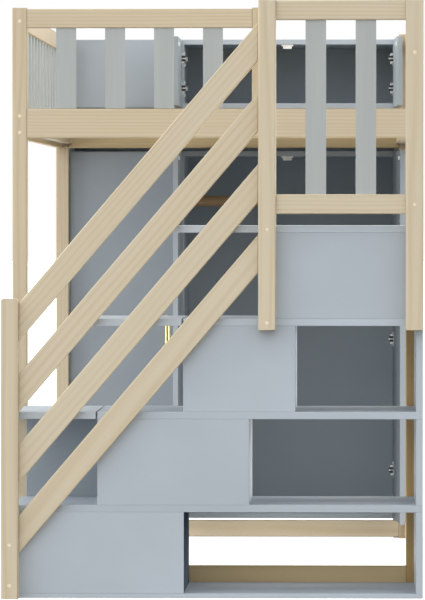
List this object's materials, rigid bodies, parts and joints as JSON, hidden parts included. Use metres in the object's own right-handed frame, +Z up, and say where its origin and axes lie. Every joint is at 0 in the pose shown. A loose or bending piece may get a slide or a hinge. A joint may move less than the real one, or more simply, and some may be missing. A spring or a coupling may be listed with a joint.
{
  "type": "loft bed with wardrobe",
  "caption": "Timber loft bed with a cupboard staircase with sloping handrail boards across one end, slatted guards, and a tall hinged-door wardrobe at the other end.",
  "frame": {"origin": "middle of the footprint, on the floor", "axes": "+Z up, +Y from the staircase end to the wardrobe end, +X to the right seen from the staircase"},
  "size_m": [1.07, 2.817, 1.515],
  "materials": {
    "pine": "clear matt lacquer on pine",
    "guard_rails_and_slats": "pine rails in clear matt lacquer, slats painted pale grey",
    "deck_pine": "planed, unfinished",
    "rod_pine": "turned, clear matt lacquer",
    "blue_grey_board": "matt foil, blue grey",
    "door_board": "matt foil, blue grey",
    "handle_brass": "satin, pale gold"
  },
  "bodies": {
    "frame": {"front_left_post": "pine", "front_right_post": "pine", "rear_left_post": "pine", "rear_right_post": "pine", "entry_post": "pine", "front_beam": "pine", "rear_beam": "pine", "left_beam": "pine", "right_beam": "pine", "front_bottom_rail": "pine", "rear_bottom_rail": "pine", "right_bottom_rail": "pine", "newel_post": "pine", "landing_left_post": "pine", "landing_right_post": "pine", "sloping_board_1": "pine", "sloping_board_2": "pine", "sloping_board_3": "pine", "sloping_board_4": "pine", "front_guard": "guard_rails_and_slats", "left_guard": "guard_rails_and_slats", "right_guard": "guard_rails_and_slats", "landing_guard": "guard_rails_and_slats", "slat_deck": "deck_pine", "hanging_rod": "rod_pine", "stair_base_board": "blue_grey_board", "stair_board_1": "blue_grey_board", "stair_board_2": "blue_grey_board", "stair_board_3": "blue_grey_board", "stair_board_4": "blue_grey_board", "stair_side_1": "blue_grey_board", "stair_side_2": "blue_grey_board", "stair_side_3": "blue_grey_board", "stair_side_4": "blue_grey_board", "step_box_1": "blue_grey_board", "step_box_2": "blue_grey_board", "step_box_3": "blue_grey_board", "step_box_4": "blue_grey_board", "tread_2": "blue_grey_board", "tread_3": "blue_grey_board", "tread_4": "blue_grey_board", "cubby_back": "blue_grey_board", "wardrobe_left_side": "blue_grey_board", "wardrobe_right_side": "blue_grey_board", "wardrobe_lower_divider": "blue_grey_board", "wardrobe_upper_divider": "blue_grey_board", "wardrobe_floor": "blue_grey_board", "wardrobe_upper_floor": "blue_grey_board", "wardrobe_lower_roof": "blue_grey_board", "wardrobe_top": "blue_grey_board", "wardrobe_back": "blue_grey_board"},
    "lower_left_door": {"lower_left_door": "door_board", "left_handle": "handle_brass"},
    "lower_middle_door": {"lower_middle_door": "door_board", "middle_handle": "handle_brass"},
    "lower_right_door": {"lower_right_door": "door_board", "right_handle": "handle_brass"},
    "upper_left_door": {"upper_left_door": "door_board"},
    "upper_middle_door": {"upper_middle_door": "door_board"},
    "upper_right_door": {"upper_right_door": "door_board"}
  },
  "joints": [
    {"name": "lower_left_door_hinge", "type": "hinge", "parent": "frame", "child": "lower_left_door", "pos_m": [-0.4885, 1.002, 0.06], "axis": [0, 0, 1], "range_deg": [-92, 0]},
    {"name": "lower_middle_door_hinge", "type": "hinge", "parent": "frame", "child": "lower_middle_door", "pos_m": [-0.167, 1.002, 0.06], "axis": [0, 0, 1], "range_deg": [-5, 90]},
    {"name": "lower_right_door_hinge", "type": "hinge", "parent": "frame", "child": "lower_right_door", "pos_m": [0.4885, 1.002, 0.06], "axis": [0, 0, 1], "range_deg": [-93.25, 0]},
    {"name": "upper_left_door_hinge", "type": "hinge", "parent": "frame", "child": "upper_left_door", "pos_m": [-0.4885, 1.002, 1.296], "axis": [0, 0, 1], "range_deg": [-92, 0]},
    {"name": "upper_middle_door_hinge", "type": "hinge", "parent": "frame", "child": "upper_middle_door", "pos_m": [-0.167, 1.002, 1.296], "axis": [0, 0, 1], "range_deg": [-5, 90]},
    {"name": "upper_right_door_hinge", "type": "hinge", "parent": "frame", "child": "upper_right_door", "pos_m": [0.4885, 1.002, 1.296], "axis": [0, 0, 1], "range_deg": [-91.75, 0]}
  ]
}
